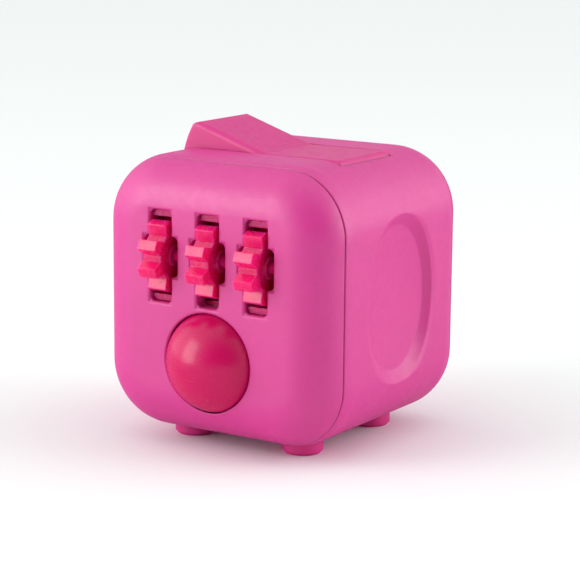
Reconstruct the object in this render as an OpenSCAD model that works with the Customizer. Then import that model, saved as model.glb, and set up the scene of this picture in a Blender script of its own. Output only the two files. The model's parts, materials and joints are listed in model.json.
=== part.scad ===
// Fidget cube: a hand-sized cube with a different moving control on each side.
// Front: three gear wheels and a click ball. Right: a thumb dish. Top: a flip switch.
// Left: a joystick. Back: a spin dial. Underneath: five push buttons, which are also its feet.
// Millimetres, +Z up, the front looks along -Y. The origin is the middle of the centre button's end.

/* [Body] */
// Side of the cube
cube_w = 33; // [33:0.1:34]
// Corner radius seen from the front
corner_r = 8; // [7.5:0.1:8]
// Rounding of the edges around the front and back
edge_r = 5.8; // [5:0.1:6]
// Wall thickness
wall = 2; // [2:0.05:2.1]
// Depth of the front and rear covers
cover_depth = 4; // [4:0.1:4.2]
// Height that the buttons lift the body
foot_h = 1.7; // [1.5:0.1:2]

/* [Gears] */
// Teeth on each gear wheel
gear_teeth = 8; // [6:1:9]
// Tip radius of a gear wheel
gear_r = 4.4; // [4.1:0.1:4.4]
// Root radius of a gear wheel
gear_root_r = 3.1; // [2.9:0.1:3.3]
// Width of a gear wheel
gear_w = 2.5; // [2.2:0.1:2.7]
// Distance between gear wheels
gear_pitch = 6.7; // [6.6:0.1:6.8]
// Depth of the gear axle behind the front face
gear_depth = 1.55; // [1.5:0.05:1.6]

/* [Ball] */
// Radius of the ball
ball_r = 6.25; // [6.1:0.05:6.25]
// Depth of the ball's centre behind the front face
ball_depth = 2.6; // [2.5:0.1:2.8]
// Travel of the ball when it clicks
ball_travel = 0.8; // [0.5:0.1:0.8]

/* [Thumb dish] */
// Width of the dish
dish_w = 15.2; // [14:0.2:16]
// Height of the dish
dish_h = 20.8; // [20:0.2:22]
// Depth of the dish
dish_depth = 1.5; // [1:0.1:1.7]

/* [Flip switch] */
// Half length of the switch cap
flip_half = 10.4; // [9.4:0.1:10.6]
// Width of the switch cap
flip_w = 11; // [10:0.1:11.5]
// Tilt of the switch either side of the middle, in degrees
flip_tilt = 9; // [8:0.5:10]
// Height of the valley between the two halves above the pivot
flip_valley = 3.2; // [3.1:0.1:3.3]

/* [Joystick] */
// Distance that the joystick stands out of the left face
stick_out = 5; // [4.8:0.1:5.4]
// Radius of the joystick cap
stick_cap_r = 5.7; // [5:0.1:5.8]

/* [Spin dial] */
// Radius of the dial
dial_r = 9.3; // [8.5:0.1:9.5]
// Height of the finger nub on the dial
nub_h = 1.3; // [0.8:0.1:2]

/* [Buttons] */
// Radius of a button
button_r = 2.45; // [2.2:0.05:2.5]
// Distance of the corner buttons from the centre lines
button_pitch = 7.8; // [7.7:0.1:8]
// Space above a button for its travel and its contact dome
button_travel = 1.1; // [1:0.1:1.1]

/* [Hidden] */
$fn = 64;

half = cube_w / 2;
z_mid = foot_h + half;
z_top = foot_h + cube_w;
z_floor = foot_h + wall;         // inner face of the bottom wall
z_ceiling = z_top - wall;        // inner face of the top wall
inner = half - wall;             // inner faces of the side walls
seam = half - cover_depth;       // where the covers meet the frame
lip = 1.5;                       // length of a cover's locating lip
lip_outer = inner - 0.1;
lip_inner = inner - 1.3;
snap_h = 0.35;                   // height of the snap ridges on the lips
snap_w = 0.6;
snap_len = 9;
seam_gap = 0.1;                  // half width of the groove around a seam
seam_half = half - 0.55;         // half width of the body at the bottom of the groove
cut = 0.01;                      // makes cutters run past a face

screw_r = 0.7;
screw_head_r = 1.4;
screw_head_h = 1;
pilot_r = 0.75;                  // hole that a screw bites in
pass_r = 0.8;                    // hole that a screw passes through
boss_r = 1.6;

gear_y = -half + gear_depth;
gear_z = foot_h + 21.6;
axle_r = 0.75;
axle_half = 10.4;
gear_recess = 0.4;               // depth of the ring hollow in each side of a gear wheel
slot_w = 3.1;                    // narrow ends of a slot, which guide the gear wheel
slot_h = 11;
slot_corner = 0.6;
slot_chamfer = 0.2;
slot_middle_w = 4.8;             // wider middle of a slot
slot_middle_h = 4.8;
bracket_front = -half + 6.5;     // front face of the gear bracket's plate
bracket_t = 1.2;
bracket_half = inner - 1.3;
bracket_low = 3.7;               // reach of the bracket's plate below the axle
bracket_high = 1.6;              // and above it
finger_gap = 0.25;               // gap between the fingers and the sides of the gear wheels
finger_reach = 10.3;
finger_front = gear_y + axle_r + 0.03;
finger_high = 5.7;               // reach of the fingers and bars above and below the axle
finger_low_inner = 4.85;         // reach of the two inner fingers below it, over the ball housing
bar_inner = 4.65;                // where the bars start, just clear of the teeth
bar_front = -inner + 0.3;        // front face of the bars
bar_t = 2;
tongue_front = -half + 0.7;      // the bars reach this far into the ends of the slots
tongue_gap = 0.12;
bracket_screw_x = 12.2;
bracket_screw_z = gear_z - 1.1;

ball_y = -half + ball_depth;
ball_z = foot_h + 9.6;
ball_chamfer = 0.25;             // chamfer around the ball's hole
ball_seat_gap = 0.15;
cradle_r = 4.3;
cradle_back = ball_y + 7;
housing_back = -3.6;
housing_bore = cradle_r + 0.15;
housing_step = -8.2;
ball_screw_x = 9.8;
ball_ear_y = -11;

dish_rim = 1;                    // how far the softened rim spreads, over both sides

flip_z = z_top - flip_valley * cos(flip_tilt);
flip_end_r = sqrt(pow(flip_half, 2) + pow(flip_valley + flip_half * tan(flip_tilt), 2));
flip_opening_w = flip_w + 0.6;
flip_round = 0.9;                // rounding of the switch's two upper ends
flip_edge_r = 0.6;               // rounding of its long edges
flip_pin_r = 0.8;
flip_pin_half = 7.6;
flip_screw = [6.5, 8.4];
flip_base_top = z_top - 7.5;
flip_base_t = 1;

stick_depth = 5.5;               // depth of the joystick's pivot behind the left face
stick_x = -half + stick_depth;
stick_r = 1.6;
stick_dome_r = 6.4;
stick_dome_in = 5.5;
stick_dome_cut = 4.1;
stick_foot = 2.1;
stick_pin_r = 0.6;
stick_housing_r = 6.8;
stick_housing_back = -5.6;
stick_screw_z = 8.45;
stick_ear_x = -12.4;

dial_face = half + 0.6;
dial_back = half - 1.05;
dial_floor = half - 1.2;
dial_pad = half - 3.5;
dial_hub_r = 2.5;
dial_hub_end = dial_pad - 0.2;
nub_offset = 5.6;
nub_r = 2.4;

button_flange_r = 3.2;
button_flange_h = 1;
button_top = z_floor + 2.2;
board_z = button_top + button_travel;
board_t = 1;
board_screws = [[-11.5, 3.4], [11.5, 3.4], [0, 9.2]];
button_places = [[-1, -1], [1, -1], [0, 0], [-1, 1], [1, 1]];

pink = [0.89, 0.34, 0.62];
deep_pink = [0.84, 0.12, 0.4];
natural = [0.92, 0.91, 0.88];
steel = [0.72, 0.73, 0.75];
silicone = [0.85, 0.86, 0.88];

// ---- helpers ----

// Rounded rectangle, centred
module round_rect(w, h, r) {
    square([w - 2 * r, h], center = true);
    square([w, h - 2 * r], center = true);
    for (x = [-1, 1], y = [-1, 1])
        translate([x * (w / 2 - r), y * (h / 2 - r)]) circle(r);
}

// Extrudes a 2D shape drawn in X and Z along Y, from y0 to y1
module along_y(y0, y1) {
    translate([0, y1, 0]) rotate([90, 0, 0]) linear_extrude(y1 - y0) children();
}

// Extrudes a 2D shape drawn in Y and Z along X, from x0 to x1
module along_x(x0, x1) {
    translate([x0, 0, 0]) rotate([90, 0, 90]) linear_extrude(x1 - x0) children();
}

module rod_x(r, x0, x1) {
    translate([x0, 0, 0]) rotate([0, 90, 0]) cylinder(r = r, h = x1 - x0);
}

module rod_y(r, y0, y1) {
    translate([0, y1, 0]) rotate([90, 0, 0]) cylinder(r = r, h = y1 - y0);
}

module rod_z(r, z0, z1) {
    translate([0, 0, z0]) cylinder(r = r, h = z1 - z0);
}

// Box from one corner to the opposite one
module block(low, high) {
    translate(low) cube([for (i = [0:2]) high[i] - low[i]]);
}

// The whole rounded outer block: two crossed slabs, and a round-edged drum at each corner
module outer_block() {
    straight = half - corner_r;
    translate([0, 0, z_mid]) {
        along_x(-straight, straight) round_rect(cube_w, cube_w, edge_r);
        translate([0, 0, -straight]) linear_extrude(2 * straight) round_rect(cube_w, cube_w, edge_r);
        for (x = [-1, 1], z = [-1, 1])
            translate([x * straight, 0, z * straight]) rotate([90, 0, 0]) rotate_extrude()
                intersection() {
                    round_rect(2 * corner_r, cube_w, edge_r);
                    translate([0, -half]) square([corner_r, cube_w]);
                }
    }
}

// Groove around the front seam, outside the body
module seam_groove() {
    difference() {
        translate([0, 0, z_mid]) along_y(-seam - seam_gap, -seam + seam_gap)
            square(2 * cube_w, center = true);
        inside(-seam - 1, -seam + 1, seam_half);
    }
}

// Square tube section of the interior, grown or shrunk to a half width
module inside(y0, y1, half_w) {
    translate([0, 0, z_mid]) along_y(y0, y1)
        round_rect(2 * half_w, 2 * half_w, corner_r - half + half_w);
}

// Four snap ridges round a half width, at y
module snap_ridges(y, half_w, height) {
    for (a = [0:90:270])
        translate([0, 0, z_mid]) rotate([0, a, 0])
            block([-snap_len / 2, y - snap_w / 2, half_w - 1],
                [snap_len / 2, y + snap_w / 2, half_w + height]);
}

// Coil spring wire swept along Z from z0 to z1
module coil(r, wire_r, z0, z1, turns) {
    sides = 8;
    steps = 16 * turns;
    function at(i) = [r * cos(i * 22.5), r * sin(i * 22.5), z0 + (z1 - z0) * i / steps];
    function ring(i) = [for (s = [0:sides - 1])
        let (a = 360 * s / sides, q = r + wire_r * cos(a))
        [q * cos(i * 22.5), q * sin(i * 22.5), at(i)[2] + wire_r * sin(a)]];
    points = [for (i = [0:steps]) each ring(i)];
    skin = [for (i = [0:steps - 1], s = [0:sides - 1])
        let (a = i * sides + s, b = i * sides + (s + 1) % sides)
        each [[a, a + sides, b + sides], [a, b + sides, b]]];
    start = [[for (s = [0:sides - 1]) s]];
    end = [[for (s = [sides - 1:-1:0]) steps * sides + s]];
    polyhedron(points = points, faces = concat(skin, start, end));
}

// Screw that points along -Z, its head's underside at the origin
module screw(length) {
    rod_z(screw_r, -length, 0.2);
    difference() {
        rod_z(screw_head_r, 0, screw_head_h);
        for (a = [0, 90]) rotate([0, 0, a])
            block([-1, -0.2, screw_head_h - 0.5], [1, 0.2, screw_head_h + cut]);
    }
}

// ---- casing ----

// Shell of a cover on the front: face, rim and locating lip
module cover_shell() {
    difference() {
        intersection() {
            outer_block();
            block([-half, -half, 0], [half, -seam, z_top + 1]);
        }
        inside(-inner, -seam + cut, lip_inner);
        seam_groove();
    }
    difference() {
        union() {
            inside(-seam - 0.5, -seam + lip, lip_outer);
            snap_ridges(-seam + 0.9, lip_outer, snap_h);
        }
        inside(-seam - 1, -seam + lip + cut, lip_inner);
    }
}

// Cutter that chamfers the rim of a slot in the front face
module slot_rim(w, h) {
    c = slot_chamfer;
    function outline(size) = [[-size / 2 - 2 * c, -c], [size / 2 + 2 * c, -c], [size / 2, c], [-size / 2, c]];
    translate([0, -half, 0]) intersection() {
        translate([0, 0, -h]) linear_extrude(2 * h) polygon(outline(w));
        along_x(-w, w) polygon([for (p = outline(h)) [p[1], p[0]]]);
    }
}

module gear_slots() {
    for (i = [-1:1]) translate([i * gear_pitch, 0, gear_z]) {
        along_y(-half - cut, -seam) {
            round_rect(slot_w, slot_h, slot_corner);
            round_rect(slot_middle_w, slot_middle_h, slot_corner);
        }
        slot_rim(slot_w, slot_h);
        slot_rim(slot_middle_w, slot_middle_h);
    }
}

// Cutter for the chamfer, with the front face at its origin
module ball_hole_chamfer() {
    hole_r = sqrt(pow(ball_r + ball_seat_gap, 2) - pow(ball_depth, 2));
    rotate_extrude() polygon([[0, -1], [hole_r + ball_chamfer + 1, -1], [hole_r + ball_chamfer, 0],
        [hole_r - 0.1, ball_chamfer + 0.1], [0, ball_chamfer + 0.1]]);
}

module front_cover() {
    color(pink) difference() {
        union() {
            cover_shell();
            for (x = [-1, 1]) {
                translate([x * bracket_screw_x, 0, bracket_screw_z])
                    rod_y(boss_r, -inner - 0.5, bracket_front);
                translate([x * ball_screw_x, 0, ball_z])
                    rod_y(boss_r, -inner - 0.5, ball_ear_y);
            }
        }
        gear_slots();
        translate([0, gear_y, gear_z]) {
            rod_x(axle_r + 0.03, -axle_half - 0.1, axle_half + 0.1);
            block([-axle_half - 0.1, 0, -axle_r - 0.03], [axle_half + 0.1, 3, axle_r + 0.03]);
        }
        translate([0, ball_y, ball_z]) sphere(ball_r + ball_seat_gap);
        translate([0, -half, ball_z]) rotate([-90, 0, 0]) ball_hole_chamfer();
        for (x = [-1, 1]) {
            translate([x * bracket_screw_x, 0, bracket_screw_z])
                rod_y(pilot_r, -half + 2.4, bracket_front + cut);
            translate([x * ball_screw_x, 0, ball_z])
                rod_y(pilot_r, -half + 2.4, ball_ear_y + cut);
        }
    }
}

module rear_cover() {
    color(pink) difference() {
        union() {
            rotate([0, 0, 180]) cover_shell();
            translate([0, 0, z_mid]) rod_y(dial_r + 1.2, dial_pad, half - wall + 0.5);
        }
        translate([0, 0, z_mid]) {
            rod_y(dial_r + 0.3, dial_floor, half + 1);
            rod_y(dial_hub_r + 0.06, dial_pad - 1, half);
        }
    }
}

// Solid with an oval bulge of the given width, height and depth, its flat oval at x = half.
// It is the outside of a ring whose two curvatures give the oval.
module oval_bulge(w, h, depth) {
    across_r = (pow(w / 2, 2) + pow(depth, 2)) / (2 * depth);
    along_r = (pow(h / 2, 2) + pow(depth, 2)) / (2 * depth);
    translate([half - depth + along_r, 0, z_mid]) rotate([90, 0, 0])
        rotate_extrude() translate([along_r - across_r, 0])
            intersection() {
                circle(across_r);
                translate([0, -across_r]) square([across_r, 2 * across_r]);
            }
}

// Cutter for the thumb dish: a softened rim, steep walls and a gently hollow floor
module dish_cutter() {
    oval_bulge(dish_w + dish_rim, dish_h + dish_rim, 0.75 * dish_depth);
    intersection() {
        oval_bulge(dish_w, dish_h, 2.2 * dish_depth);
        oval_bulge(1.5 * dish_w, 1.5 * dish_h, dish_depth);
    }
}

module body_frame() {
    color(pink) difference() {
        union() {
            difference() {
                intersection() {
                    outer_block();
                    block([-half, -seam, 0], [half, seam, z_top + 1]);
                }
                inside(-seam - 1, seam + 1, inner);
                for (y = [-1, 1]) snap_ridges(y * (seam - 0.9), inner, snap_h + 0.1);
                for (a = [0, 180]) rotate([0, 0, a]) seam_groove();
            }
            block([inner - 1.3, -7.6, z_mid - 11.9], [inner + 0.5, 7.6, z_mid + 11.9]);
            for (y = [-1, 1])
                block([-2, y > 0 ? 6.2 : -7.7, flip_z - 1.7], [2, y > 0 ? 7.7 : -6.2, z_ceiling + 0.5]);
            for (x = [-1, 1], y = [-1, 1])
                translate([x * flip_screw[0], y * flip_screw[1], 0])
                    rod_z(boss_r, flip_base_top, z_ceiling + 0.5);
            for (z = [-1, 1])
                translate([0, 0, z_mid + z * stick_screw_z]) rod_x(boss_r, -inner - 0.5, stick_ear_x);
            for (p = board_screws)
                translate([p[0], p[1], 0]) rod_z(boss_r, z_floor - 0.5, board_z);
        }
        dish_cutter();
        intersection() {
            translate([0, 0, flip_z]) rod_y(flip_end_r + 0.18, -flip_opening_w / 2, flip_opening_w / 2);
            block([-half, -half, z_ceiling - 1], [half, half, z_top + 1]);
        }
        translate([0, 0, flip_z]) rod_y(flip_pin_r + 0.02, -8, 8);
        for (x = [-1, 1], y = [-1, 1])
            translate([x * flip_screw[0], y * flip_screw[1], 0])
                rod_z(pilot_r, flip_base_top - cut, z_ceiling - 0.5);
        translate([stick_x, 0, z_mid]) sphere(stick_dome_r + 0.1);
        for (z = [-1, 1])
            translate([0, 0, z_mid + z * stick_screw_z]) rod_x(pilot_r, -inner - 0.1, stick_ear_x + cut);
        for (p = button_places)
            translate([p[0] * button_pitch, p[1] * button_pitch, 0]) {
                rod_z(button_r + 0.15, 0, z_floor + cut);
                rod_z(button_flange_r + 0.15, z_floor, z_floor + 3);
            }
        for (p = board_screws)
            translate([p[0], p[1], 0]) rod_z(pilot_r, z_floor - 0.1, board_z + cut);
    }
}

// ---- front: gear wheels and click ball ----

module gear_outline() {
    tooth = 0.55;                // half width of a tooth at its tip
    tooth_base = 0.85;           // half width of a tooth at its root
    circle(gear_root_r);
    intersection() {
        circle(gear_r);
        for (i = [0:gear_teeth - 1])
            rotate(180 / gear_teeth - 90 + 360 * i / gear_teeth)
                polygon([[1, -tooth_base], [gear_root_r, -tooth_base], [gear_r + 0.2, -tooth],
                    [gear_r + 0.2, tooth], [gear_root_r, tooth_base], [1, tooth_base]]);
    }
}

module gear(i) {
    color(deep_pink) translate([i * gear_pitch, gear_y, gear_z]) difference() {
        along_x(-gear_w / 2, gear_w / 2) rotate(-90) gear_outline();
        rod_x(axle_r + 0.05, -gear_w, gear_w);
        for (x = [-1, 1]) translate([x * gear_w / 2, 0, 0]) difference() {
            rod_x(gear_root_r - 0.4, -gear_recess, gear_recess);
            rod_x(axle_r + 0.6, -1, 1);
        }
    }
}

module gear_left() { gear(-1); }
module gear_middle() { gear(0); }
module gear_right() { gear(1); }

module gear_axle() {
    color(deep_pink) translate([0, gear_y, gear_z]) rod_x(axle_r, -axle_half, axle_half);
}

// Plate behind the gear wheels, with fingers between them and bars across the ends of the slots
module gear_bracket() {
    inner_x = [gear_w / 2 + finger_gap, gear_pitch - gear_w / 2 - finger_gap];
    outer_x = [gear_pitch + gear_w / 2 + finger_gap, finger_reach];
    color(deep_pink) difference() {
        translate([0, 0, gear_z]) {
            block([-bracket_half, bracket_front, -bracket_low],
                [bracket_half, bracket_front + bracket_t, bracket_high]);
            block([-finger_reach, bar_front, bar_inner], [finger_reach, bar_front + bar_t, finger_high]);
            for (m = [0, 1]) mirror([m, 0, 0]) {
                for (x = [inner_x, outer_x]) {
                    block([x[0], finger_front, x == inner_x ? -finger_low_inner : -finger_high],
                        [x[1], bracket_front - 0.3, finger_high]);
                    block([x[0], finger_front, -bracket_low], [x[1], bracket_front + 0.5, bracket_high]);
                }
                block([inner_x[1] - 0.3, bar_front, -finger_high],
                    [finger_reach, bar_front + bar_t, -bar_inner]);
            }
            for (i = [-1:1]) translate([i * gear_pitch, 0, 0]) slot_tongues(i == 0);
        }
        for (x = [-1, 1])
            translate([x * bracket_screw_x, 0, bracket_screw_z]) rod_y(pass_r, -half, 0);
    }
}

// The bars' ends inside a slot
module slot_tongues(upper_only) {
    difference() {
        along_y(tongue_front, bar_front + 0.5)
            round_rect(slot_w - 2 * tongue_gap, slot_h - 2 * tongue_gap, slot_corner - tongue_gap);
        block([-slot_w, -half, upper_only ? -slot_h : -bar_inner], [slot_w, 0, bar_inner]);
    }
}

module gear_bracket_screws() {
    color(steel) for (x = [-1, 1])
        translate([x * bracket_screw_x, bracket_front + bracket_t, bracket_screw_z])
            rotate([-90, 0, 0]) screw(4.8);
}

module roller_ball() {
    color(deep_pink) translate([0, ball_y, ball_z]) sphere(ball_r);
}

module ball_cradle() {
    color(natural) difference() {
        translate([0, 0, ball_z]) {
            rod_y(cradle_r, ball_y + 4.4, cradle_back);
            rod_y(1.5, cradle_back - 0.5, cradle_back + 2.2);
        }
        translate([0, ball_y, ball_z]) sphere(ball_r + 0.05);
    }
}

module ball_spring() {
    color(steel) translate([0, 0, ball_z]) rotate([-90, 0, 0])
        coil(2.6, 0.22, cradle_back + 0.24, housing_back - 0.8 - 0.24, 3);
}

module ball_housing() {
    color(deep_pink) difference() {
        union() {
            translate([0, 0, ball_z]) {
                rod_y(7.1, -inner, housing_step);
                rod_y(5.1, housing_step - 1, housing_back);
                block([-ball_screw_x, ball_ear_y, -boss_r], [ball_screw_x, ball_ear_y + 1.2, boss_r]);
                for (x = [-1, 1]) translate([x * ball_screw_x, 0, 0])
                    rod_y(boss_r, ball_ear_y, ball_ear_y + 1.2);
            }
        }
        translate([0, 0, ball_z]) {
            rod_y(ball_r + 0.2, -half, ball_y + 1.5);
            rod_y(housing_bore, -half, housing_back - 0.8);
            rod_y(1.7, -half, 0);
            for (x = [-1, 1]) translate([x * ball_screw_x, 0, 0]) rod_y(pass_r, -half, 0);
        }
        for (y = [0, ball_travel + 0.05])
            translate([0, ball_y + y, ball_z]) sphere(ball_r + 0.2);
        block([-10, -half, 0], [10, -seam + lip + 0.3, z_mid - lip_inner + 0.1]);
    }
}

module ball_housing_screws() {
    color(steel) for (x = [-1, 1])
        translate([x * ball_screw_x, ball_ear_y + 1.2, ball_z]) rotate([-90, 0, 0]) screw(3.8);
}

// ---- top: flip switch ----

// Side view of the switch about its pivot: two sloping halves with rounded ends, and a nose below
module flip_outline() {
    rise = 12 * tan(flip_tilt);
    end_r = flip_end_r - flip_round;
    top = flip_valley - flip_round / cos(flip_tilt);     // line that the rounding's centre lies on
    slope = tan(flip_tilt);
    x = pow(cos(flip_tilt), 2) * (-top * slope + sqrt(pow(end_r, 2) * (1 + pow(slope, 2)) - pow(top, 2)));
    centre = [x, top + x * slope];
    on_top = centre + flip_round * [-sin(flip_tilt), cos(flip_tilt)];
    on_end = centre * flip_end_r / end_r;
    difference() {
        intersection() {
            circle(flip_end_r);
            polygon([[-12, -1.2], [12, -1.2], [12, flip_valley + rise], [0, flip_valley],
                [-12, flip_valley + rise]]);
        }
        for (m = [0, 1]) mirror([m, 0])
            polygon([on_top, on_end, on_end + [2, 0], on_end + [2, 4], on_top + [0, 2]]);
    }
    for (m = [0, 1]) mirror([m, 0]) translate(centre) circle(flip_round);
    translate([-0.6, -2.3]) square([1.2, 2]);
    translate([0, -2.3]) circle(0.6);
}

// Two tilted bars, rounded lengthwise, that the outline is cut from
module flip_bars() {
    depth = 10;
    for (m = [0, 1]) mirror([m, 0, 0])
        translate([0, 0, flip_valley]) rotate([0, -flip_tilt, 0]) along_x(-1, flip_half + 4)
            translate([0, -depth / 2]) round_rect(flip_w, depth, flip_edge_r);
}

module flip_switch() {
    roof = flip_valley - 1.5;
    color(pink) translate([0, 0, flip_z]) rotate([0, flip_tilt, 0]) difference() {
        union() {
            intersection() {
                along_y(-flip_w / 2, flip_w / 2) flip_outline();
                block([-12, -flip_w / 2, -1.2], [12, flip_w / 2, 8]);
                flip_bars();
            }
            along_y(-2, 2) intersection() {
                flip_outline();
                translate([-2, -4]) square([4, 4]);
            }
        }
        for (x = [-1, 1]) mirror([x < 0 ? 1 : 0, 0, 0])
            along_y(-flip_w / 2 + 1.4, flip_w / 2 - 1.4)
                polygon([[2.2, -2], [flip_half - 1.4, -2],
                    [flip_half - 1.4, roof + (flip_half - 1.4) * tan(flip_tilt)],
                    [2.2, roof + 2.2 * tan(flip_tilt)]]);
        rod_y(flip_pin_r + 0.05, -flip_w, flip_w);
    }
}

module flip_pin() {
    color(steel) translate([0, 0, flip_z]) rod_y(flip_pin_r, -flip_pin_half, flip_pin_half);
}

module flip_base() {
    reach = [flip_screw[0] + boss_r, flip_screw[1] + boss_r];
    color(natural) difference() {
        translate([0, 0, flip_base_top - flip_base_t]) linear_extrude(flip_base_t)
            round_rect(2 * reach[0], 2 * reach[1], boss_r);
        for (x = [-1, 1], y = [-1, 1])
            translate([x * flip_screw[0], y * flip_screw[1], 0]) rod_z(pass_r, 0, z_top);
        block([-3, -1.6, 0], [3, 1.6, z_top]);
    }
}

// Bent strip with two shallow valleys that the switch's nose snaps between
module flip_leaf_spring() {
    t = 0.25;
    nose = flip_z - 2.3 * cos(flip_tilt) - 0.6 - flip_base_top - 0.04;
    top = [[-7, t], [-5.4, t], [-2.2, nose - 0.35], [-0.8, nose], [-0.4, nose], [0, nose + 0.1],
        [0.4, nose], [0.8, nose], [2.2, nose - 0.35], [5.4, t], [7, t]];
    under = [for (i = [len(top) - 1:-1:0]) [top[i][0], top[i][1] - t]];
    color(steel) translate([0, 0, flip_base_top]) along_y(-2, 2) polygon(concat(top, under));
}

module flip_base_screws() {
    color(steel) for (x = [-1, 1], y = [-1, 1])
        translate([x * flip_screw[0], y * flip_screw[1], flip_base_top - flip_base_t])
            rotate([180, 0, 0]) screw(4.5);
}

// ---- left: joystick ----

module joystick_cap() {
    top = half + stick_out;
    color(pink) translate([0, 0, z_mid]) rotate([0, -90, 0]) difference() {
        rotate_extrude() polygon([[0, top - 2.4], [3.4, top - 2.4], [stick_cap_r - 0.3, top - 1.6],
            [stick_cap_r, top - 1.1], [stick_cap_r, top - 0.5], [stick_cap_r - 0.5, top], [0, top]]);
        translate([0, 0, top + 13.2]) sphere(14);
        rod_z(stick_r + 0.02, 0, top - 1.5);
    }
}

module joystick_stick() {
    color(pink) translate([stick_x, 0, z_mid]) difference() {
        union() {
            difference() {
                sphere(stick_dome_r);
                sphere(stick_dome_in);
                block([-stick_dome_cut, -10, -10], [10, 10, 10]);
            }
            rod_x(stick_r, -(stick_depth + stick_out - 1.6), stick_foot);
            rod_x(2, stick_foot - 0.6, stick_foot);
        }
        rod_y(stick_pin_r + 0.02, -3, 3);
    }
}

module joystick_pin() {
    color(steel) translate([stick_x, 0, z_mid]) rod_y(stick_pin_r, -3.8, 3.8);
}

module joystick_gimbal() {
    color(natural) translate([stick_x, 0, z_mid]) difference() {
        union() {
            rod_x(3.9, -1, 1);
            for (z = [-1, 1]) mirror([0, 0, z < 0 ? 1 : 0]) rod_z(stick_pin_r, 3.4, 6.7);
        }
        rod_x(2.7, -2, 2);
        rod_y(stick_pin_r + 0.05, -5, 5);
    }
}

module joystick_spring() {
    start = stick_x + stick_foot;
    color(steel) translate([0, 0, z_mid]) rotate([0, 90, 0])
        coil(1.6, 0.18, start + 0.2, stick_housing_back - 0.8 - 0.2, 3);
}

module joystick_housing() {
    color(natural) translate([0, 0, z_mid]) difference() {
        union() {
            rod_x(stick_housing_r, -inner, stick_housing_back);
            for (z = [-1, 1]) {
                translate([0, 0, z * stick_screw_z]) rod_x(boss_r, stick_ear_x, stick_ear_x + 1.2);
                block([stick_ear_x, -boss_r, z > 0 ? 0 : -stick_screw_z],
                    [stick_ear_x + 1.2, boss_r, z > 0 ? stick_screw_z : 0]);
            }
        }
        rod_x(stick_housing_r - 0.8, -half, stick_housing_back - 0.8);
        translate([stick_x, 0, 0]) rod_z(stick_pin_r + 0.05, -10, 10);
        rod_x(0.9, -half, 0);
        for (z = [-1, 1]) translate([0, 0, z * stick_screw_z]) rod_x(pass_r, -half, 0);
    }
}

module joystick_housing_screws() {
    color(steel) for (z = [-1, 1])
        translate([stick_ear_x + 1.2, 0, z_mid + z * stick_screw_z]) rotate([0, 90, 0]) screw(3);
}

// ---- back: spin dial ----

module spin_dial() {
    color(pink) translate([0, 0, z_mid]) rotate([-90, 0, 0]) difference() {
        union() {
            rotate_extrude() polygon([[0, dial_back], [dial_r, dial_back], [dial_r, dial_face - 0.5],
                [dial_r - 0.5, dial_face], [dial_r - 1.3, dial_face], [3, dial_face - 0.7],
                [0, dial_face - 0.8]]);
            rod_z(dial_hub_r, dial_hub_end, dial_back + 0.2);
            translate([nub_offset, 0, 0]) rod_z(nub_r, dial_back + 0.4, dial_face + nub_h);
        }
        rod_z(0.95, dial_hub_end - 1, dial_back);
    }
}

module dial_washer() {
    color(steel) translate([0, 0, z_mid]) difference() {
        rod_y(4, dial_hub_end - 0.6, dial_hub_end);
        rod_y(1, 0, half);
    }
}

module dial_screw() {
    color(steel) translate([0, dial_hub_end - 0.6, z_mid]) rotate([90, 0, 0]) {
        rod_z(0.92, -2.8, 0.2);
        difference() {
            rod_z(1.8, 0, 1);
            for (a = [0, 90]) rotate([0, 0, a]) block([-1.2, -0.25, 0.5], [1.2, 0.25, 1 + cut]);
        }
    }
}

// ---- underneath: push buttons ----

module button(i) {
    p = button_places[i];
    color(pink) translate([p[0] * button_pitch, p[1] * button_pitch, 0]) rotate_extrude()
        polygon([[0, 0], [button_r - 0.35, 0], [button_r, 0.35], [button_r, z_floor],
            [button_flange_r, z_floor], [button_flange_r, z_floor + button_flange_h],
            [1.6, z_floor + button_flange_h], [1.6, button_top], [0, button_top]]);
}

module button_front_left() { button(0); }
module button_front_right() { button(1); }
module button_centre() { button(2); }
module button_rear_left() { button(3); }
module button_rear_right() { button(4); }

// Shallow domed disc between a button's stem and the board
module dome(i, thick, tint) {
    p = button_places[i];
    gap = board_z - button_top;
    color(tint) translate([p[0] * button_pitch, p[1] * button_pitch, button_top]) rotate_extrude()
        polygon([[0, 0], [0.9, 0], [1.7, gap - thick - 0.15], [2.1, gap - thick], [2.1, gap],
            [1.5, gap], [0.7, thick], [0, thick]]);
}

module click_dome_front_left() { dome(0, 0.2, steel); }
module click_dome_centre() { dome(2, 0.2, steel); }
module click_dome_rear_right() { dome(4, 0.2, steel); }
module soft_dome_front_right() { dome(1, 0.45, silicone); }
module soft_dome_rear_left() { dome(3, 0.45, silicone); }

module button_board() {
    color(natural) translate([0, 0, board_z]) difference() {
        linear_extrude(board_t) difference() {
            translate([0, 0.4]) round_rect(25.8, 21.6, 1.5);
            translate([-6.5, -12]) square([13, 4.1]);
            translate([-4.1, -8.5]) square([8.2, 5.2]);
        }
        for (p = board_screws) translate([p[0], p[1], 0]) rod_z(pass_r, -1, 3);
    }
}

module button_board_screws() {
    color(steel) for (p = board_screws) translate([p[0], p[1], board_z + board_t]) screw(3.8);
}

front_cover();
rear_cover();
body_frame();
gear_left();
gear_middle();
gear_right();
gear_axle();
gear_bracket();
gear_bracket_screws();
roller_ball();
ball_cradle();
ball_spring();
ball_housing();
ball_housing_screws();
flip_switch();
flip_pin();
flip_base();
flip_leaf_spring();
flip_base_screws();
joystick_cap();
joystick_stick();
joystick_pin();
joystick_gimbal();
joystick_spring();
joystick_housing();
joystick_housing_screws();
spin_dial();
dial_washer();
dial_screw();
button_front_left();
button_front_right();
button_centre();
button_rear_left();
button_rear_right();
click_dome_front_left();
click_dome_centre();
click_dome_rear_right();
soft_dome_front_right();
soft_dome_rear_left();
button_board();
button_board_screws();
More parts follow.
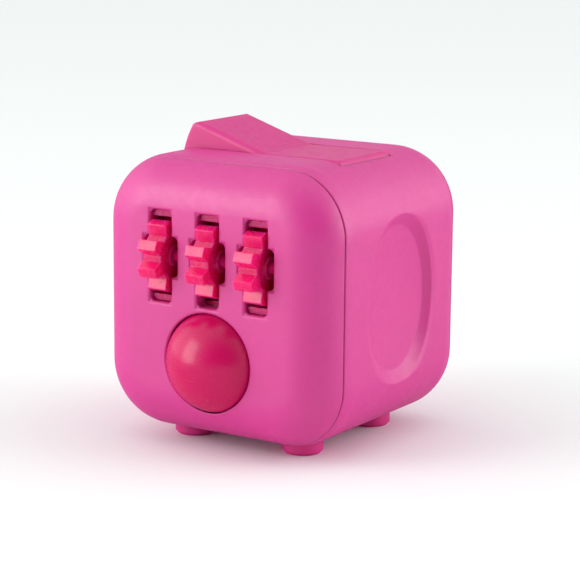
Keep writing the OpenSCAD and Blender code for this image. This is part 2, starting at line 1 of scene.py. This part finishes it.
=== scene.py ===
"""Looks for the fidget cube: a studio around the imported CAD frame, and a finish for every piece."""

import json
import math

import bpy
from mathutils import Matrix, Vector


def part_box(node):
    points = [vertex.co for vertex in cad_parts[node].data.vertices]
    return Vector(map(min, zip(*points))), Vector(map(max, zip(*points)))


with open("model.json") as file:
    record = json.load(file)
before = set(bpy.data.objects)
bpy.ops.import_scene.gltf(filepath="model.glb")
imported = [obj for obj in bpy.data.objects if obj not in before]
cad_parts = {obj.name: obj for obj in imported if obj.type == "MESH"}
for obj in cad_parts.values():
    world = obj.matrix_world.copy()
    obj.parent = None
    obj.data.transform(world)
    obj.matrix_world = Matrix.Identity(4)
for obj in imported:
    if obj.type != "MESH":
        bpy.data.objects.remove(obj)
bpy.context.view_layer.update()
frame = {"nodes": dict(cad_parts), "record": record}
NODES = frame["nodes"]
MM = 0.001

# ---- the camera, as the photograph looks at the object ----

AZIMUTH = 33.0
ELEVATION = 11.4
ROLL = 0.5
DISTANCE = 254 * MM
LENS = 129.1
SHIFT = (0.0090, -0.0124)


def body_centre():
    low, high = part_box("body_frame")
    return (low + high) / 2


def make_camera():
    a, e = math.radians(AZIMUTH), math.radians(ELEVATION)
    back = Vector((math.sin(a) * math.cos(e), -math.cos(a) * math.cos(e), math.sin(e)))
    data = bpy.data.cameras.new("camera")
    data.lens = LENS
    data.sensor_width = 36
    data.shift_x, data.shift_y = SHIFT
    data.clip_start, data.clip_end = 1 * MM, 10
    camera = bpy.data.objects.new("camera", data)
    bpy.context.scene.collection.objects.link(camera)
    turn = (-back).to_track_quat("-Z", "Y").to_matrix().to_4x4()
    roll = Matrix.Rotation(math.radians(ROLL), 4, "Z")
    camera.matrix_world = Matrix.Translation(body_centre() + back * DISTANCE) @ turn @ roll
    bpy.context.scene.camera = camera


# ---- studio ----


def link(obj):
    bpy.context.scene.collection.objects.link(obj)
    return obj


def area_light(name, place, target, size, power):
    data = bpy.data.lights.new(name, "AREA")
    data.shape = "RECTANGLE"
    data.size, data.size_y = size
    data.energy = power
    light = link(bpy.data.objects.new(name, data))
    light.location = place
    light.rotation_mode = "QUATERNION"
    light.rotation_quaternion = (Vector(target) - Vector(place)).to_track_quat("-Z", "Y")
    return light


LAMPS = {                          # place, width and height in metres, then watts
    "left_softbox": ((-0.25, -0.33, 0.14), (0.22, 0.32), 0.70),
    "right_softbox": ((0.36, 0.16, 0.14), (0.24, 0.30), 0.45),
}


def make_lights():
    for name, (place, size, power) in LAMPS.items():
        area_light(name, place, body_centre(), size, power)


BRIGHT = 1.74                      # strength of the surroundings
# Directions with no lamps, and what is left of the strength there: the photographer's side, behind, above
DIM_SIDES = [((0.62, -0.76, 0.18), 0.03), ((-0.53, 0.82, 0.20), 0.30), ((0.0, 0.0, 1.0), 0.60)]
DIM_SPREAD = (0.35, 0.98)          # cosines between which a dim side sets in


def make_world():
    """White surroundings that fall off to a fraction of their strength towards each dim side."""
    world = bpy.data.worlds.new("studio")
    world.use_nodes = True
    nodes, links = world.node_tree.nodes, world.node_tree.links
    coords = nodes.new("ShaderNodeTexCoord")
    strength = BRIGHT
    for direction, left in DIM_SIDES:
        towards = nodes.new("ShaderNodeVectorMath")
        towards.operation = "DOT_PRODUCT"
        towards.inputs[1].default_value = Vector(direction).normalized()
        links.new(coords.outputs["Generated"], towards.inputs[0])
        level = map_range(nodes, links, towards.outputs["Value"], DIM_SPREAD, (1, left))
        level.interpolation_type = "SMOOTHSTEP"
        strength = combine(nodes, links, "MULTIPLY", strength, level.outputs["Result"])
    nodes["Background"].inputs["Color"].default_value = (1, 1, 1, 1)
    links.new(strength, nodes["Background"].inputs["Strength"])
    bpy.context.scene.world = world


FLOOR_HALF = 3.0                   # metres either way
FLOOR_TONE = (0.945, 0.985, 0.975, 1)
# Floor colour seen only by glossy rays: painted darker reflections of the floor
FLOOR_PAINTED_DARK_IN_REFLECTIONS = (0.45, 0.45, 0.45, 1)


def make_floor():
    """White paper, tinted slightly cyan. For glossy rays its colour is painted darker, so its reflections in
    the pieces are painted darker.
    """
    corners = [(x * FLOOR_HALF, y * FLOOR_HALF, 0) for x, y in ((-1, -1), (1, -1), (1, 1), (-1, 1))]
    mesh = bpy.data.meshes.new("floor")
    mesh.from_pydata(corners, [], [(0, 1, 2, 3)])
    floor = link(bpy.data.objects.new("floor", mesh))
    material, nodes, links, shader = new_material("floor_paper")
    shader.inputs["Roughness"].default_value = 0.9
    ray = nodes.new("ShaderNodeLightPath")
    tone_and_painted_reflection = nodes.new("ShaderNodeMix")
    tone_and_painted_reflection.data_type = "RGBA"
    tone_and_painted_reflection.inputs["A"].default_value = FLOOR_TONE
    tone_and_painted_reflection.inputs["B"].default_value = FLOOR_PAINTED_DARK_IN_REFLECTIONS
    # Glossy rays get the darker colour: the floor's reflections are painted darker
    links.new(ray.outputs["Is Glossy Ray"], tone_and_painted_reflection.inputs["Factor"])
    links.new(tone_and_painted_reflection.outputs["Result"], shader.inputs["Base Color"])
    mesh.materials.append(material)


# ---- materials ----


def new_material(name):
    material = bpy.data.materials.new(name)
    material.use_nodes = True
    nodes, links = material.node_tree.nodes, material.node_tree.links
    return material, nodes, links, nodes["Principled BSDF"]


def map_range(nodes, links, value, source, target):
    node = nodes.new("ShaderNodeMapRange")
    node.inputs["From Min"].default_value, node.inputs["From Max"].default_value = source
    node.inputs["To Min"].default_value, node.inputs["To Max"].default_value = target
    links.new(value, node.inputs["Value"])
    return node


def noise(nodes, links, size, detail=3, stretch=(1, 1, 1), turn=0.0):
    """Noise whose features are about size metres across, longer along a stretched axis."""
    coords = nodes.new("ShaderNodeTexCoord")
    place = nodes.new("ShaderNodeMapping")
    place.inputs["Scale"].default_value = [1 / s for s in stretch]
    place.inputs["Rotation"].default_value = (turn, turn * 0.7, turn * 1.3)
    links.new(coords.outputs["Object"], place.inputs["Vector"])
    texture = nodes.new("ShaderNodeTexNoise")
    texture.inputs["Scale"].default_value = 1 / size
    texture.inputs["Detail"].default_value = detail
    links.new(place.outputs["Vector"], texture.inputs["Vector"])
    return texture.outputs["Fac"]


def combine(nodes, links, operation, first, second):
    node = nodes.new("ShaderNodeMath")
    node.operation = operation
    for socket, value in zip(node.inputs, (first, second)):
        if isinstance(value, (int, float)):
            socket.default_value = value
        else:
            links.new(value, socket)
    return node.outputs["Value"]


def rounded_edges(nodes, radius):
    """The surface's direction with every edge rounded off to the radius."""
    rounded = nodes.new("ShaderNodeBevel")
    rounded.samples = 6
    rounded.inputs["Radius"].default_value = radius
    return rounded.outputs["Normal"]


def edge_mask(nodes, links, rounded):
    """1 along the edges, 0 on open faces: how far the rounding turns the surface."""
    geometry = nodes.new("ShaderNodeNewGeometry")
    turn = nodes.new("ShaderNodeVectorMath")
    turn.operation = "DOT_PRODUCT"
    links.new(rounded, turn.inputs[0])
    links.new(geometry.outputs["Normal"], turn.inputs[1])
    return map_range(nodes, links, turn.outputs["Value"], (0.995, 0.85), (0, 1)).outputs["Result"]


def scratches(nodes, links, size):
    """Thin, broken lines in two directions, from handling."""
    lines = []
    for turn in (0.5, 2.1):
        streaks = noise(nodes, links, size, 2, (30, 1, 1), turn)
        lines.append(map_range(nodes, links, streaks, (0.66, 0.72), (0, 1)).outputs["Result"])
    return combine(nodes, links, "MAXIMUM", *lines)


def mix(nodes, links, factor, first, second):
    node = nodes.new("ShaderNodeMix")
    node.data_type = "RGBA"
    links.new(factor, node.inputs["Factor"])
    for name, value in (("A", first), ("B", second)):
        if isinstance(value, tuple):
            node.inputs[name].default_value = (*value, 1)
        else:
            links.new(value, node.inputs[name])
    return node.outputs["Result"]


def scaled(colour, factor, lift=0.0):
    return tuple(min(1.0, c * factor + lift) for c in colour)


def surface_bump(nodes, links, shader, height, strength, distance, rounded):
    bump = nodes.new("ShaderNodeBump")
    bump.inputs["Strength"].default_value = strength
    bump.inputs["Distance"].default_value = distance
    links.new(height, bump.inputs["Height"])
    links.new(rounded, bump.inputs["Normal"])
    links.new(bump.outputs["Normal"], shader.inputs["Normal"])


CLOUD_SIZE = 7 * MM
MOTTLE_SIZE = 0.9 * MM
SCRATCH_SIZE = 0.12 * MM
GRAIN_SIZE = 0.16 * MM
GRAIN_DEPTH = 0.02 * MM
SCATTER = (1.0, 0.15, 0.3)         # how far red, green and blue light spread inside, relative to each other


def plastic(name, colour, roughness, grain, edge_radius=0.15 * MM, wear=0.5, flecks=0.16,
            subsurface=0.0, depth=1.2 * MM, specular=0.5):
    """Moulded plastic: cloudy colour, spark-eroded grain, fine scratches and rubbed edges."""
    material, nodes, links, shader = new_material(name)
    clouds = noise(nodes, links, CLOUD_SIZE)
    mottle = noise(nodes, links, MOTTLE_SIZE, 4)
    marks = scratches(nodes, links, SCRATCH_SIZE)
    rounded = rounded_edges(nodes, edge_radius)
    edges = combine(nodes, links, "MULTIPLY", edge_mask(nodes, links, rounded), mottle)
    body = mix(nodes, links, clouds, scaled(colour, 0.93), scaled(colour, 1.06, 0.004))
    fleck_mask = map_range(nodes, links, mottle, (0.35, 0.75), (0, flecks)).outputs["Result"]
    flecked = mix(nodes, links, fleck_mask, body, scaled(colour, 0.8))
    rubbed = mix(nodes, links, combine(nodes, links, "MULTIPLY", edges, wear),
                 flecked, scaled(colour, 1.05, 0.05))
    links.new(rubbed, shader.inputs["Base Color"])
    spread = map_range(nodes, links, mottle, (0.25, 0.75), (roughness - 0.05, roughness + 0.06))
    worn = combine(nodes, links, "MULTIPLY", edges, -0.25 * wear)
    scuffed = combine(nodes, links, "MULTIPLY", marks, 0.12)
    rough = combine(nodes, links, "ADD", spread.outputs["Result"], worn)
    rough = combine(nodes, links, "ADD", rough, scuffed)
    links.new(rough, shader.inputs["Roughness"])
    fine = noise(nodes, links, GRAIN_SIZE, 4)
    height = combine(nodes, links, "SUBTRACT", fine, combine(nodes, links, "MULTIPLY", marks, 0.25))
    surface_bump(nodes, links, shader, height, grain, GRAIN_DEPTH, rounded)
    shader.inputs["Subsurface Weight"].default_value = subsurface
    shader.inputs["Subsurface Radius"].default_value = SCATTER
    shader.inputs["Subsurface Scale"].default_value = depth
    shader.inputs["Specular IOR Level"].default_value = specular
    return material


def brushed_steel(name, colour, roughness):
    """Drawn and turned steel: fine lines, a little tarnish, brighter edges."""
    material, nodes, links, shader = new_material(name)
    lines = noise(nodes, links, 0.05 * MM, 3, (40, 1, 1))
    tarnish = noise(nodes, links, 0.8 * MM, 4)
    body = mix(nodes, links, tarnish, scaled(colour, 0.82), scaled(colour, 1.08))
    rounded = rounded_edges(nodes, 0.06 * MM)
    bright = mix(nodes, links, edge_mask(nodes, links, rounded), body, scaled(colour, 1.3))
    links.new(bright, shader.inputs["Base Color"])
    shader.inputs["Metallic"].default_value = 1
    spread = map_range(nodes, links, lines, (0.3, 0.7), (roughness - 0.08, roughness + 0.10))
    links.new(spread.outputs["Result"], shader.inputs["Roughness"])
    surface_bump(nodes, links, shader, lines, 0.3, 0.01 * MM, rounded)
    return material


CASING = (0.69, 0.030, 0.285)
CONTROLS = (0.69, 0.017, 0.24)     # switch, joystick, dial and buttons
DEEP = (0.80, 0.004, 0.16)         # gear wheels
DEEPEST = (0.62, 0.002, 0.11)      # ball


def make_materials():
    """One finish for each of the record's material slots."""
    finishes = {
        "casing_pink": plastic("casing_plastic", CASING, 0.42, 0.3, 0.3 * MM, subsurface=0.25,
                               specular=0.75),
        "control_pink": plastic("control_plastic", CONTROLS, 0.38, 0.2, 0.35 * MM, wear=0.7, subsurface=0.25,
                                specular=0.6),
        "gear_pink": plastic("gear_plastic", DEEP, 0.26, 0.12, 0.15 * MM, wear=0.8, flecks=0.06,
                             subsurface=0.9, depth=3 * MM, specular=0.55),
        "ball_pink": plastic("ball_plastic", DEEPEST, 0.22, 0.05, wear=0.3, flecks=0.03, subsurface=0.2,
                             specular=0.4),
        "natural_plastic": plastic("natural_plastic", (0.80, 0.79, 0.75), 0.5, 0.2, wear=0.2),
        "silicone": plastic("silicone", (0.74, 0.76, 0.80), 0.35, 0.1, wear=0.1, subsurface=0.4),
        "steel": brushed_steel("steel", (0.62, 0.63, 0.65), 0.3),
    }
    for part in frame["record"]["subparts"]:
        node = NODES[part["node"]]
        for slot in node.material_slots:
            slot.material = finishes[part["material_slot"]]
        if not node.material_slots:
            node.data.materials.append(finishes[part["material_slot"]])


make_camera()
make_lights()
make_world()
make_floor()
make_materials()
bpy.context.scene.view_settings.view_transform = "Standard"
